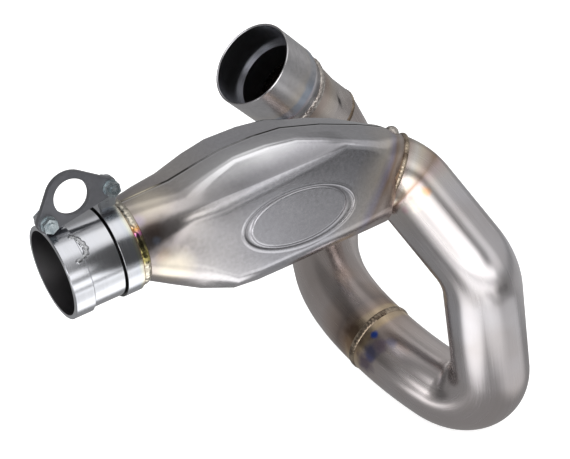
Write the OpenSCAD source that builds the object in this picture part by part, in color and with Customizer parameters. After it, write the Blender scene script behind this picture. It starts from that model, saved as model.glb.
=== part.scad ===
// Exhaust header for a motorcycle engine, in millimetres.
// Gas comes in at the inlet socket, runs through the looped tube into the flat expansion chamber,
// and leaves by the turned outlet collar, where a slip-in mid pipe fits.
// X runs along the collar's axis from its mouth into the chamber, the chamber's seam lies in the
// plane y = 0, its badge side looks to -Y, and +Z is up.

/* [Tube] */
// Outside diameter of the header tube, 1 3/4 inch
tube_od = 44.45; // [42:0.05:45]
// Wall of the header tube
tube_wall = 1.2; // [0.9:0.1:1.6]

/* [Bend table, from the chamber up to the inlet] */
// Straight land under the chamber's weld
inlet_land = 2.6; // [2.4:0.1:5]
// Centre line radius of the bend that starts at the chamber
inlet_radius = 28; // [26:0.1:40]
// Turn of that bend, degrees
inlet_turn = 34; // [20:0.1:45]
// Straight run after that bend
run_a = 43.9; // [30:0.1:90]
// Roll before the knee bend, degrees
knee_roll = 77.1; // [60:0.1:100]
// Centre line radius of the knee bend
knee_radius = 30.5; // [26:0.1:40]
// Turn of the knee bend, degrees
knee_turn = 42.7; // [20:0.1:70]
// Straight leg between the knee and the U bend
run_b = 55.1; // [30:0.1:90]
// Roll before the U bend, degrees
u_roll = -6; // [-30:0.1:10]
// Centre line radius of the U bend
u_radius = 26.4; // [25:0.1:40]
// Turn of the U bend, degrees
u_turn = 116.3; // [90:0.1:130]
// Short straight after the U bend
run_c = 2; // [2:0.1:20]
// Roll before the long sweep, degrees
sweep_roll = 114.3; // [100:0.1:130]
// Centre line radius of the long sweep
sweep_radius = 113.3; // [80:0.1:140]
// Turn of the sweep on the front tube, up to the loop weld, degrees
sweep_front = 20.5; // [10:0.1:30]
// Straight land under the loop weld
weld_land = 6; // [5:0.1:12]
// Turn of the sweep on the side tube, after the loop weld, degrees
sweep_side = 36.7; // [30:0.1:60]
// Straight run from the sweep to the elbow
run_d = 11.8; // [4:0.1:30]
// Roll before the elbow, degrees
elbow_roll = -105.2; // [-130:0.1:-80]
// Centre line radius of the elbow
elbow_radius = 36; // [30:0.1:45]
// Turn of the elbow, degrees
elbow_turn = 124.3; // [100:0.1:135]
// Straight run between the elbow and the riser bend
run_e = 3; // [2:0.1:20]
// Roll before the riser bend, degrees
riser_roll = -118.2; // [-140:0.1:-90]
// Centre line radius of the riser bend
riser_radius = 34; // [28:0.1:45]
// Turn of the riser bend, degrees
riser_turn = 44.7; // [20:0.1:60]
// Straight run up to the riser's mitre
run_f = 16.2; // [14:0.1:40]
// Roll before the mitre, degrees
mitre_roll = 93.4; // [80:0.1:110]
// Turn at the mitre, degrees
mitre_turn = 23.6; // [10:0.1:30]

/* [Chamber] */
// Sheet of the two stamped half shells
sheet = 1.2; // [0.8:0.1:1.5]
// Bevel on the outer edge of each half, which leaves the fine groove of the seam
seam_bevel = 0.6; // [0.2:0.1:0.7]
// Depth of each half from the seam to its flat face
half_depth = 24; // [23:0.5:28]
// Where the chamber's inlet end is centred along X
chamber_end_x = 199.6; // [196:0.1:206]
// Where the chamber's inlet end is centred along Z
chamber_end_z = -26.9; // [-30:0.1:-24]
// How far the pipe folds from straight down to the front, degrees
fold = 40.1; // [30:0.1:50]
// Turn of the chamber's own inlet end from the collar's axis, degrees
neck_turn = 43; // [38:0.1:46]
// Length of the oval badge
badge_len = 66; // [56:0.5:68]
// Height of the oval badge
badge_h = 40; // [32:0.5:41]
// How far the badge's rims stand out of the face
badge_rise = 0.8; // [0.4:0.1:1.2]

/* [Outlet collar] */
// Bore of the slip joint, across
slip_bore = 44.8; // [44.5:0.05:45.2]
// Wall of the sleeve
sleeve_wall = 1.1; // [1:0.1:1.6]
// Wall of the rolled lip
lip_wall = 2.4; // [1.9:0.1:3.6]
// Length of the lip
lip_len = 10.7; // [8:0.1:12]
// Length of the sleeve from the mouth to the ring
sleeve_len = 28.4; // [26:0.1:32]
// Wall of the stop ring over the same bore
ring_wall = 2.5; // [1.9:0.1:3.6]
// Length of the stop ring
ring_len = 9.9; // [8:0.1:12]

/* [Inlet socket] */
// Bore of the socket, across, for a 2 inch spigot
socket_bore = 51.2; // [50.9:0.05:51.6]
// Wall of the socket
socket_wall = 1.3; // [1:0.1:1.9]
// Depth of the bore from the mouth to the step
socket_depth = 22; // [18:0.1:28]
// Length of the full socket before it tapers
socket_len = 29; // [28:0.1:34]
// Length of the taper
taper_len = 10; // [6:0.1:14]
// Outside of the riser where it meets the socket, across
riser_od = 48.6; // [46:0.1:50]
// Length of the riser's own cone
riser_cone = 22; // [16:0.1:26]
// Plain end of the riser, up to the mitre
riser_plain = 14.7; // [13:0.1:20]

/* [Hanger] */
// Thickness of the hanger plate and of its ears
plate_t = 3; // [2.5:0.1:4]
// Where the plate's back face stands on the front side of the seam plane
plate_back = 4.5; // [3:0.1:6]
// Hole through the hanger plate, across
hanger_hole = 18.6; // [14:0.1:19]
// Radius of the plate round the hole
boss_r = 13; // [12:0.1:16]
// Front bolt along X
front_bolt_x = 1.8; // [1:0.1:3]
// Front bolt along Z
front_bolt_z = 30.4; // [30.2:0.1:32]
// Rear bolt behind the front face of the stop ring
rear_bolt_in = 8.2; // [7:0.1:9]
// Rear bolt along Z
rear_bolt_z = 35.8; // [34:0.1:37]
// Hole's centre along X
hole_x = 16.5; // [15:0.1:18]
// Hole's centre along Z
hole_z = 39; // [38:0.1:41]
// Thread of the two bolts, across
bolt_d = 4; // [3:0.5:5]
// Bolts and nuts across the flats
hex_af = 7; // [7:0.5:8]

/* [Welds] */
// How far a weld bead stands out
bead_rise = 0.6; // [0.5:0.1:1.3]
// Width of a weld bead
bead_w = 4.4; // [3:0.1:5]

/* [Hidden] */
$fn = 96;
tube_r = tube_od / 2;
mitre_reach = tube_od / 3;   // length beyond a mitre's middle, before it is cut
sleeve_od = slip_bore + 2 * sleeve_wall;
lip_od = slip_bore + 2 * lip_wall;
ring_od = slip_bore + 2 * ring_wall;
socket_od = socket_bore + 2 * socket_wall;
lap = 0.5;     // how far a straight runs into the bend next to it
skin = 0.1;    // and how far it stands proud there
groove_w = 0.8;
neck_x = sleeve_len + ring_len;
washer_r = 4.2;
washer_t = 1;
nut_h = 3.2;
head_h = 2.8;
bolt_hole = bolt_d + 0.5;
ear_back = plate_back - plate_t;

// Placing along the pipe: each frame has the pipe's heading as its Z.
module at_chamber_end() translate([chamber_end_x, 0, chamber_end_z])
  rotate([-fold, 0, 0]) rotate([0, 90, 0]) children();
module at_inlet() at_chamber_end() rotate([0, neck_turn, 0]) children();
module at_front() at_inlet() translate([0, 0, inlet_land]) past(inlet_radius, inlet_turn)
  children();
module past(radius, turn) translate([radius, 0, 0]) rotate([0, turn, 0]) translate([-radius, 0, 0])
  children();
module at_knee() translate([0, 0, run_a]) rotate([0, 0, knee_roll]) children();
module at_u() past(knee_radius, knee_turn) translate([0, 0, run_b]) rotate([0, 0, u_roll])
  children();
module at_sweep() past(u_radius, u_turn) translate([0, 0, run_c]) rotate([0, 0, sweep_roll])
  children();
module at_loop_weld() at_front() at_knee() at_u() at_sweep() past(sweep_radius, sweep_front)
  children();
module at_elbow() past(sweep_radius, sweep_side) translate([0, 0, run_d])
  rotate([0, 0, elbow_roll]) children();
module at_riser_bend() past(elbow_radius, elbow_turn) translate([0, 0, run_e])
  rotate([0, 0, riser_roll]) children();
module at_mitre() past(riser_radius, riser_turn) translate([0, 0, run_f])
  rotate([0, 0, mitre_roll]) children();
module at_riser() at_loop_weld() translate([0, 0, weld_land]) at_elbow() at_riser_bend()
  at_mitre() children();

// Pieces of tube: a straight is lapped into its bends, so the run is one solid.
module tube_section(k = 0) difference() {
  circle(r = tube_r + k);
  circle(r = tube_r - tube_wall + k);
}
module straight(len, before = lap, after = lap) translate([0, 0, -before])
  linear_extrude(height = len + before + after) tube_section(skin);
module bend(radius, turn) translate([radius, 0, 0]) rotate([90, 0, 180])
  rotate_extrude(angle = turn) translate([radius, 0]) tube_section();
// Half spaces on either side of a mitre whose pipe turns towards +X.
module above(tilt, lift = 0) rotate([0, tilt, 0]) translate([-60, -60, lift]) cube([120, 120, 60]);
module below(tilt, lift = 0) rotate([0, tilt, 0]) translate([-60, -60, lift - 60])
  cube([120, 120, 60]);
// A weld bead round a straight stretch of radius r.
module bead(r, rise = bead_rise, w = bead_w) {
  wire = (rise * rise + w * w / 4) / (2 * rise);
  rotate_extrude() intersection() {
    translate([r + rise - wire, 0]) circle(r = wire);
    translate([r, -w]) square([rise + 1, 2 * w]);
  }
}

// Outlet collar and its welds
module outlet_collar() {
  color([0.62, 0.62, 0.64]) rotate([0, 90, 0]) rotate_extrude() polygon([
    [slip_bore / 2, 0], [lip_od / 2 - 0.4, 0], [lip_od / 2, 0.4],
    [lip_od / 2, lip_len - 0.4], [lip_od / 2 - 0.4, lip_len], [sleeve_od / 2, lip_len],
    [sleeve_od / 2, sleeve_len - groove_w], [sleeve_od / 2 - 0.5, sleeve_len - groove_w],
    [sleeve_od / 2 - 0.5, sleeve_len], [slip_bore / 2, sleeve_len]]);
}
module stop_ring() {
  bore_r = tube_r - sheet;
  color([0.6, 0.6, 0.62]) translate([sleeve_len, 0, 0]) rotate([0, 90, 0]) rotate_extrude()
    polygon([[bore_r, 0], [ring_od / 2 - 0.3, 0], [ring_od / 2, 0.3],
             [ring_od / 2, ring_len - 0.6], [ring_od / 2 - 0.6, ring_len], [bore_r, ring_len]]);
}
module collar_weld() {
  color([0.55, 0.47, 0.36]) translate([neck_x, 0, 0]) rotate([0, 90, 0]) rotate_extrude()
    intersection() {
      translate([tube_r, 0]) circle(r = 2);
      square([tube_r + 4, 4]);
      translate([tube_r, 0]) square(4);
    }
}
module lip_weld() {
  wire = 1.6;
  color([0.6, 0.58, 0.55]) rotate([0, 90, 0]) rotate([0, 0, 218]) rotate_extrude(angle = 34)
    intersection() {
      translate([sleeve_od / 2, lip_len + wire]) circle(r = wire);
      translate([sleeve_od / 2, lip_len]) square([3, 4]);
    }
}

// Stamped chamber: each station is [x, height of the seam at the top, at the bottom,
// depth and height of the upper edge, height of the face's top, of its bottom,
// depth and height of the lower edge, corner softness].
front_stations = [
  [70, 22.8, -37.4, 16, 20.6, 13.0, -22.5, 14, -36.8, 6],
  [87, 25.6, -44.9, 15, 25.0, 9.6, -35.2, 15, -43.6, 5],
  [101, 27.5, -46.0, 15, 28.2, 10.0, -36.2, 16, -44.6, 4],
  [120, 27.5, -46.5, 16, 27.8, 11.0, -36.4, 16, -45.0, 4],
  [137, 25.8, -46.5, 17, 25.6, 12.4, -36.2, 16, -45.0, 4],
  [150, 21.9, -46.8, 19.5, 21.4, 13.6, -36.2, 16, -45.2, 4],
  [161, 18.5, -47.2, 22, 17.2, 14.6, -36.0, 16, -45.4, 4],
  [176, 12.4, -47.6, 21.5, 10.4, 7.6, -35.8, 16, -45.6, 4],
  [184, 9.2, -47.8, 21, 6.2, 2.6, -35.6, 16, -45.8, 5]];
rear_stations = [
  [70, 22.8, -37.4, 15, 22.6, 12.0, -22.5, 14, -36.8, 6],
  [87, 25.6, -44.9, 17, 26.6, 10.0, -35.2, 15, -43.6, 5],
  [101, 27.5, -46.0, 17, 28.8, 10.0, -36.2, 16, -44.6, 4],
  [120, 27.5, -46.5, 17, 28.3, 11.0, -36.4, 16, -45.0, 4],
  [137, 25.8, -46.5, 17, 25.8, 11.0, -36.2, 16, -45.0, 4],
  [150, 21.9, -46.8, 15.5, 21.2, 8.0, -36.2, 16, -45.2, 4],
  [161, 18.5, -47.2, 15, 18.0, 5.0, -36.0, 16, -45.4, 4],
  [176, 12.4, -47.6, 14.5, 12.0, 0.0, -35.8, 16, -45.6, 4],
  [184, 9.2, -47.8, 14, 7.6, -4.0, -35.6, 16, -45.8, 5]];
soft = 5;             // points on each softened corner, less one
count = 4 * (soft + 1) + 4;
function corner(a, p, b, t) =
  let (u = p + (a - p) * min(t / norm(a - p), 0.48), v = p + (b - p) * min(t / norm(b - p), 0.48))
  [for (i = [0:soft]) let (s = i / soft) (1 - s) * (1 - s) * u + 2 * s * (1 - s) * p + s * s * v];
// Half a section, from the seam's top round the face to the seam's bottom, as [depth, height].
function half_section(q) =
  let (c = [[seam_bevel, q[1]], [q[3], q[4]], [half_depth, q[5]], [half_depth, q[6]],
            [q[7], q[8]], [seam_bevel, q[2]]])
  concat([[0, q[1] - seam_bevel], c[0]],
         corner(c[0], c[1], c[2], q[9]), corner(c[1], c[2], c[3], q[9]),
         corner(c[2], c[3], c[4], q[9]), corner(c[3], c[4], c[5], q[9]),
         [c[5], [0, q[2] + seam_bevel]]);
// The angle at which each of these points lies on the round ends.
spread = [[76, 52], [44, 12], [-12, -44], [-52, -76]];
edge_angle = asin(seam_bevel / tube_r);
function round_angle(k) =
  k <= 1 ? 90 - k * edge_angle : k >= count - 2 ? -90 + (count - 1 - k) * edge_angle :
  let (j = floor((k - 2) / (soft + 1)), i = (k - 2) % (soft + 1))
  spread[j][0] + (spread[j][1] - spread[j][0]) * i / soft;
function round_radius(k, r) = (k == 0 || k == count - 1) ? r - seam_bevel : r;
function neck_section(r) = [for (k = [0:count - 1])
  round_radius(k, r) * [cos(round_angle(k)), sin(round_angle(k))]];
// The inside of a section, one sheet in.
function inset(s, t) = [for (k = [0:count - 1])
  k == 0 ? [0, s[1][1] - t] : k == count - 1 ? [0, s[count - 2][1] + t] :
  k == 1 ? [seam_bevel, s[1][1] - t] : k == count - 2 ? [seam_bevel, s[k][1] + t] :
  let (d = s[k + 1] - s[k - 1]) s[k] + t * [d[1], -d[0]] / norm(d)];
function mix(a, b, w) = [for (k = [0:count - 1]) (1 - w) * a[k] + w * b[k]];
function place(s, x, side) = [for (p = s) [x, side * p[0], p[1]]];
// The chamber's round inlet end, square to the tube that starts there.
heading = [cos(neck_turn), -sin(neck_turn) * sin(fold), -sin(neck_turn) * cos(fold)];
end_centre = [chamber_end_x, 0, chamber_end_z];
up_dir = let (v = cross([0, -1, 0], heading)) v / norm(v);
front_dir = cross(heading, up_dir);
function end_point(angle, r, side) =
  end_centre + r * (sin(angle) * up_dir + cos(angle) * (side < 0 ? front_dir : -front_dir));
function end_loop(r, side, t = 0) = [for (k = [0:count - 1])
  end_point(round_angle(k), (k == 0 || k == count - 1 ? r - (t > 0 ? t : seam_bevel) : r - t), side)];
// The last station is rounded off to the neck of the inlet end.
function mid_loop(a, b, side) = [for (k = [0:count - 1]) 0.5 * a[k] + 0.5 * b[k]
  + [1.2, side * 0.9 * cos(round_angle(k)), 1.4 * sin(round_angle(k))]];
module half_shell(stations, side) {
  neck = neck_section(tube_r);
  body = [for (q = stations) half_section(q)];
  first = body[0];
  last = body[len(body) - 1];
  last_x = stations[len(stations) - 1][0];
  x0 = stations[0][0];
  flare_x = neck_x + 5 + (x0 - neck_x - 5) * 0.45;
  flare = mix(neck, first, side > 0 ? 0.56 : 0.46);
  outer = concat([place(neck, neck_x, side), place(neck, neck_x + 5, side),
                  place(flare, flare_x, side)],
                 [for (i = [0:len(body) - 1]) place(body[i], stations[i][0], side)]);
  inner = concat([place(inset(neck, sheet), neck_x, side),
                  place(inset(neck, sheet), neck_x + 5, side),
                  place(inset(flare, sheet), flare_x, side)],
                 [for (i = [0:len(body) - 1]) place(inset(body[i], sheet), stations[i][0], side)]);
  end_out = end_loop(tube_r, side);
  end_in = end_loop(tube_r, side, sheet);
  mid_out = mid_loop(outer[len(outer) - 1], end_out, side);
  mid_in = mid_loop(inner[len(inner) - 1], end_in, side);
  o = concat(outer, [mid_out, end_out]);
  n = concat(inner, [mid_in, end_in]);
  rows = len(o);
  m = rows * count;
  points = concat([for (r = o) each r], [for (r = n) each r]);
  skin_faces = [for (i = [0:rows - 2], k = [0:count - 2]) each
    let (a = i * count + k, b = a + 1, c = a + count, d = c + 1)
    [[a, b, d], [a, d, c], [m + a, m + d, m + b], [m + a, m + c, m + d]]];
  seam_faces = [for (i = [0:rows - 2]) each
    let (a = i * count, c = a + count, e = a + count - 1, g = e + count)
    [[a, c, m + c], [a, m + c, m + a], [e, m + g, g], [e, m + e, m + g]]];
  end_faces = [for (k = [0:count - 2]) each
    let (a = k, b = k + 1, e = (rows - 1) * count + k, g = e + 1)
    [[a, m + b, b], [a, m + a, m + b], [e, g, m + g], [e, m + g, m + e]]];
  all_faces = concat(skin_faces, seam_faces, end_faces);
  polyhedron(points = points,
             faces = side > 0 ? all_faces : [for (f = all_faces) [f[0], f[2], f[1]]]);
}
module oval_rim(a, b, w, rise) {
  translate([126.8, -half_depth + 0.3, -13]) rotate([0, 6.2, 0]) rotate([90, 0, 0])
    linear_extrude(height = rise + 0.3) difference() {
      polygon([for (i = [0:71]) [a * cos(i * 5), b * sin(i * 5)]]);
      polygon([for (i = [0:71]) [(a - w) * cos(i * 5), (b - w) * sin(i * 5)]]);
    }
}
module chamber_front_shell() {
  color([0.66, 0.66, 0.68]) union() {
    half_shell(front_stations, -1);
    oval_rim(badge_len / 2, badge_h / 2, 1.7, badge_rise);
    oval_rim(badge_len / 2 - 3.4, badge_h / 2 - 3.4, 1.5, badge_rise * 0.75);
  }
}
module chamber_rear_shell() {
  color([0.6, 0.6, 0.62]) half_shell(rear_stations, 1);
}
module seam_end_weld() {
  color([0.58, 0.55, 0.48]) difference() {
    translate([chamber_end_x + 5.2, 0.3, chamber_end_z + 22.2]) sphere(r = 4.2, $fn = 48);
    chamber_solid();
    at_inlet() above(0);
  }
}
// The chamber as a closed solid, which weld metal is cut by.
module chamber_solid() {
  solid_half(front_stations, -1);
  solid_half(rear_stations, 1);
}
module solid_half(stations, side) {
  body = [for (q = stations) half_section(q)];
  last = body[len(body) - 1];
  end_out = end_loop(tube_r, side);
  mid_out = mid_loop(place(last, stations[len(stations) - 1][0], side), end_out, side);
  o = [place(last, stations[len(stations) - 1][0], side), mid_out, end_out];
  rows = 3;
  faces = concat(
    [for (i = [0:rows - 2], k = [0:count - 1]) each
      let (a = i * count + k, b = i * count + (k + 1) % count, c = a + count, d = b + count)
      [[a, b, d], [a, d, c]]],
    [[for (k = [0:count - 1]) count - 1 - k], [for (k = [0:count - 1]) (rows - 1) * count + k]]);
  polyhedron(points = [for (r = o) each r],
             faces = side > 0 ? faces : [for (f = faces) [for (j = [len(f) - 1:-1:0]) f[j]]]);
}
// Half a bead, on the tube's side of the joint.
module chamber_inlet_weld() {
  wire = 2;
  color([0.5, 0.42, 0.36]) at_inlet() rotate_extrude() intersection() {
    translate([tube_r - 0.7, 0]) circle(r = wire);
    translate([tube_r + skin, 0]) square(4);
  }
}
// The looped tube, in two bent pieces
module front_bend_tube() {
  color([0.62, 0.61, 0.6]) at_inlet() {
    straight(inlet_land, 0, lap);
    translate([0, 0, inlet_land]) bend(inlet_radius, inlet_turn);
  }
  color([0.62, 0.61, 0.6]) at_front() {
    straight(run_a);
    at_knee() {
      bend(knee_radius, knee_turn);
      past(knee_radius, knee_turn) straight(run_b);
      at_u() {
        bend(u_radius, u_turn);
        past(u_radius, u_turn) straight(run_c);
        at_sweep() {
          bend(sweep_radius, sweep_front);
          past(sweep_radius, sweep_front) straight(weld_land / 2, lap, 0);
        }
      }
    }
  }
}
module loop_weld() {
  color([0.5, 0.42, 0.34]) at_loop_weld() translate([0, 0, weld_land / 2]) bead(tube_r + skin);
}
module side_bend_tube() {
  color([0.58, 0.57, 0.56]) at_loop_weld() {
    translate([0, 0, weld_land / 2]) straight(weld_land / 2, 0, lap);
    translate([0, 0, weld_land]) {
      bend(sweep_radius, sweep_side);
      past(sweep_radius, sweep_side) straight(run_d);
      at_elbow() {
        bend(elbow_radius, elbow_turn);
        past(elbow_radius, elbow_turn) straight(run_e);
        at_riser_bend() {
          bend(riser_radius, riser_turn);
          past(riser_radius, riser_turn) difference() {
            straight(run_f, lap, mitre_reach);
            translate([0, 0, run_f]) rotate([0, 0, mitre_roll]) above(mitre_turn / 2);
          }
        }
      }
    }
  }
}
module at_riser_start() at_riser() rotate([0, mitre_turn, 0]) children();
joint_land = 3;
module riser_tube() {
  top = riser_plain + riser_cone;
  out_r = riser_od / 2;
  color([0.56, 0.55, 0.54]) at_riser_start() difference() {
    rotate_extrude() polygon([
      [tube_r - tube_wall, -mitre_reach], [tube_r, -mitre_reach], [tube_r, riser_plain],
      [out_r, top - joint_land], [out_r, top], [out_r - tube_wall, top],
      [out_r - tube_wall, top - joint_land], [tube_r - tube_wall, riser_plain]]);
    below(-mitre_turn / 2);
  }
}
module at_socket() at_riser_start() translate([0, 0, riser_plain + riser_cone]) children();
module socket_weld() {
  color([0.55, 0.5, 0.44]) at_socket() bead(riser_od / 2);
}
module inlet_socket() {
  top = taper_len + socket_len;
  out_r = socket_od / 2;
  in_r = socket_bore / 2;
  step_r = riser_od / 2 - tube_wall;
  color([0.63, 0.63, 0.65]) at_socket() rotate_extrude() polygon([
    [step_r, 0], [riser_od / 2, 0], [riser_od / 2, joint_land], [out_r, taper_len],
    [out_r, top - 0.4], [out_r - 0.4, top], [in_r + 0.4, top], [in_r, top - 0.4],
    [in_r, top - socket_depth], [step_r, top - socket_depth]]);
}

// Hanger: a flat plate bolted to two ears that stand on the collar
front_bolt = [front_bolt_x, front_bolt_z];
rear_bolt = [sleeve_len + rear_bolt_in, rear_bolt_z];
hole_at = [hole_x, hole_z];
function arc(c, r, a0, a1, n) = [for (i = [0:n]) let (a = a0 + (a1 - a0) * i / n)
  c + r * [cos(a), sin(a)]];
// The direction from either centre to its tangent point, on the right of the way from c1 to c2.
function tangent_angle(c1, r1, c2, r2) =
  let (v = c2 - c1) atan2(v[1], v[0]) - acos((r1 - r2) / norm(v));
function wrap(a, from) = a < from ? a + 360 : a;
module plate_outline() {
  rf = 5.2;
  rr = 4.2;
  low = tangent_angle(front_bolt, rf, rear_bolt, rr);
  right = tangent_angle(rear_bolt, rr, hole_at, boss_r);
  left = tangent_angle(hole_at, boss_r, front_bolt, rf);
  polygon(concat(arc(rear_bolt, rr, low, wrap(right, low), 12),
                 arc(hole_at, boss_r, right, wrap(left, right), 24),
                 arc(front_bolt, rf, left, wrap(low, left), 12)));
}
module at_bolts() for (p = [front_bolt, rear_bolt]) translate([p[0], 0, p[1]]) rotate([90, 0, 0])
  children();
module hanger_plate() {
  color([0.3, 0.3, 0.31]) difference() {
    translate([0, -plate_back, 0]) rotate([90, 0, 0]) linear_extrude(height = plate_t)
      plate_outline();
    translate([hole_x, 0, hole_z]) rotate([90, 0, 0]) cylinder(h = 40, r = hanger_hole / 2,
      center = true);
    at_bolts() cylinder(h = 40, r = bolt_hole / 2, center = true);
  }
}
// An ear round a bolt, whose foot is cut to the round it stands on.
module ear(bolt, foot_a, foot_b, r, seat_r) {
  difference() {
    translate([0, -ear_back, 0]) rotate([90, 0, 0]) linear_extrude(height = plate_t)
      polygon(concat(arc(bolt, r, -10, 190, 20), [[foot_a, seat_r - 3], [foot_b, seat_r - 3]]));
    translate([bolt[0], 0, bolt[1]]) rotate([90, 0, 0]) cylinder(h = 40, r = bolt_hole / 2,
      center = true);
    translate([-10, 0, 0]) rotate([0, 90, 0]) cylinder(h = 80, r = seat_r);
  }
}
module front_ear() {
  color([0.62, 0.62, 0.64]) ear(front_bolt, 0.6, 12.4, 4.6, lip_od / 2);
}
module rear_ear() {
  color([0.5, 0.5, 0.52]) ear(rear_bolt, sleeve_len + 2, sleeve_len + ring_len - 0.5, 4.7, ring_od / 2);
}
module foot_bead(x0, len, seat_r) {
  rod = 1.4;
  difference() {
    translate([x0, -ear_back, sqrt(seat_r * seat_r - ear_back * ear_back)]) rotate([0, 90, 0])
      cylinder(h = len, r = rod, $fn = 48);
    translate([x0 - 1, -ear_back - 5, seat_r - 5]) cube([len + 2, 5, 10]);
    translate([x0 - 1, 0, 0]) rotate([0, 90, 0]) cylinder(h = len + 2, r = seat_r);
  }
}
module ear_welds() {
  color([0.55, 0.52, 0.48]) {
    foot_bead(1.2, 8.8, lip_od / 2);
    foot_bead(sleeve_len + 2.6, ring_len - 3.5, ring_od / 2);
  }
}
module hex(h, af = hex_af) rotate([0, 0, 30]) cylinder(h = h, r = af / sqrt(3), $fn = 6);
stack_y = plate_back + plate_t;      // front face of the plate
module hanger_bolts() {
  len = stack_y + washer_t + nut_h + 0.8;
  color([0.68, 0.7, 0.72]) at_bolts() {
    translate([0, 0, ear_back - head_h]) hex(head_h);
    translate([0, 0, ear_back - 0.5]) cylinder(h = len - ear_back + 0.5, r = bolt_d / 2);
  }
}
module hanger_washers() {
  color([0.66, 0.68, 0.7]) at_bolts() translate([0, 0, stack_y]) difference() {
    cylinder(h = washer_t, r = washer_r);
    translate([0, 0, -1]) cylinder(h = washer_t + 2, r = bolt_d / 2);
  }
}
module hanger_nuts() {
  color([0.7, 0.72, 0.75]) at_bolts() translate([0, 0, stack_y + washer_t]) difference() {
    hex(nut_h);
    translate([0, 0, -1]) cylinder(h = nut_h + 2, r = bolt_d / 2);
  }
}

outlet_collar();
stop_ring();
collar_weld();
lip_weld();
chamber_front_shell();
chamber_rear_shell();
seam_end_weld();
chamber_inlet_weld();
front_bend_tube();
loop_weld();
side_bend_tube();
riser_tube();
socket_weld();
inlet_socket();
hanger_plate();
front_ear();
rear_ear();
ear_welds();
hanger_bolts();
hanger_washers();
hanger_nuts();
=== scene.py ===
# %% [markdown]
# # A bent and welded exhaust header
# This lesson dresses one object: the header pipe of a motorcycle. It is a looped steel
# tube, a stamped chamber, a turned collar at one end and a slip socket at the other. The
# solids were made in CAD and come in as a fixed frame. Here the tube is bent again from
# its bend table, so that its finish can follow the pipe, the welds get their ripples, and
# every piece of metal gets its own finish: brushed tube, satin chamber, turned collar,
# heat colours beside the welds.

# %% Load the frame
import math
import bpy, bmesh
from mathutils import Matrix, Vector


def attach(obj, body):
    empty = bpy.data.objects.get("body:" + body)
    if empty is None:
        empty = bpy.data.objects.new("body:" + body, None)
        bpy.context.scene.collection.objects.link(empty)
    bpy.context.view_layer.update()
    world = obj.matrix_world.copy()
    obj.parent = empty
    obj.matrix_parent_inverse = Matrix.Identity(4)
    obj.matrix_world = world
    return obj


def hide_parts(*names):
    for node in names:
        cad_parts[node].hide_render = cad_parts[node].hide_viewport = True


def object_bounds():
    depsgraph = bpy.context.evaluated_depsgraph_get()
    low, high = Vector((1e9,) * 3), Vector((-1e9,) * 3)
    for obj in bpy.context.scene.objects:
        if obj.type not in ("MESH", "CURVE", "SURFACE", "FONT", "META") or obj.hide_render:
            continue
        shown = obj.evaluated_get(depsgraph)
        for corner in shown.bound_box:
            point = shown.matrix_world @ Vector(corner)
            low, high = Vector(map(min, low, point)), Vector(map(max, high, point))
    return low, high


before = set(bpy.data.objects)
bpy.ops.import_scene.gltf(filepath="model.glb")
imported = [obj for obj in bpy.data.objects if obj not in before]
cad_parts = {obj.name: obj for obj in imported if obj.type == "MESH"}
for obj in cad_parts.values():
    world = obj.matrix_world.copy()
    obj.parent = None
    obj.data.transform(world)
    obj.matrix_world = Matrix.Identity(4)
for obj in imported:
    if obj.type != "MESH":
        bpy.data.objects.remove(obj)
cad_box = [list(corner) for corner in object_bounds()]
MM = 0.001
print("CAD box, metres:", [[round(x, 4) for x in corner] for corner in cad_box])

# %% [markdown]
# ## The camera
# The photograph was taken with a long lens, a little from above and from the outlet's
# side. A camera can be aimed by hand until edges line up, but a matrix is exact: its
# columns are the camera's right, up and back directions, and its last column is its place.

# %% Camera
CAMERA_AT = (-0.18981, -0.61615, 0.36741)
right = Vector((0.8347, -0.5302, -0.1488))
up = Vector((0.3792, 0.3574, 0.8535))
back = right.cross(up).normalized()
cam = bpy.data.objects.new("camera", bpy.data.cameras.new("camera"))
cam.data.sensor_width = 36
cam.data.lens = 94.74
cam.data.clip_end = 20
axes = Matrix((right, up, back)).transposed()
cam.matrix_world = Matrix.Translation(CAMERA_AT) @ axes.to_4x4()
bpy.context.scene.collection.objects.link(cam)
bpy.context.scene.camera = cam
print("camera looks along", [round(-x, 3) for x in back])

# %% [markdown]
# ## Floor, sky and lamps
# Polished metal shows what stands round it, so the studio matters as much as the steel.
# The floor is pale and wide and keeps the shadow, and a glow that only the camera sees
# makes its ground white. The sky has bright and dark zones, because steel in an evenly
# white room looks like grey plastic. Where the metal mirrors the floor it sees pools of
# light there instead of an even grey.


# %% Node helpers
def add(tree, kind, inputs=None, **settings):
    """A node with its settings, and its inputs given as values or as sockets to link."""
    node = tree.nodes.new(kind)
    for key, value in settings.items():
        setattr(node, key, value)
    for key, value in (inputs or {}).items():
        if isinstance(value, bpy.types.NodeSocket):
            tree.links.new(value, node.inputs[key])
        else:
            node.inputs[key].default_value = value
    return node


def math_node(tree, op, a, b=0.0):
    return add(tree, "ShaderNodeMath", {0: a, 1: b}, operation=op).outputs[0]


def product(tree, value, *others):
    for other in others:
        value = math_node(tree, "MULTIPLY", value, other)
    return value


def vector_node(tree, op, a, b=(0, 0, 0)):
    """Vector arithmetic. A length or a dot product comes out as one number."""
    node = add(tree, "ShaderNodeVectorMath", {0: a, 1: b}, operation=op)
    return node.outputs["Value" if op in ("LENGTH", "DOT_PRODUCT") else "Vector"]


def object_place(tree):
    return add(tree, "ShaderNodeTexCoord").outputs["Object"]


def blank_material(name):
    """A material and its node tree, still empty."""
    mat = bpy.data.materials.new(name)
    mat.use_nodes = True
    mat.node_tree.nodes.clear()
    return mat, mat.node_tree


# %% Zones of brightness
def smooth_step(tree, value, zero, one):
    """0 before zero, 1 beyond one, smooth between. Either end may be the higher."""
    return add(tree, "ShaderNodeMapRange", {"Value": value, "From Min": zero, "From Max": one},
               interpolation_type="SMOOTHSTEP").outputs[0]


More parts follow.
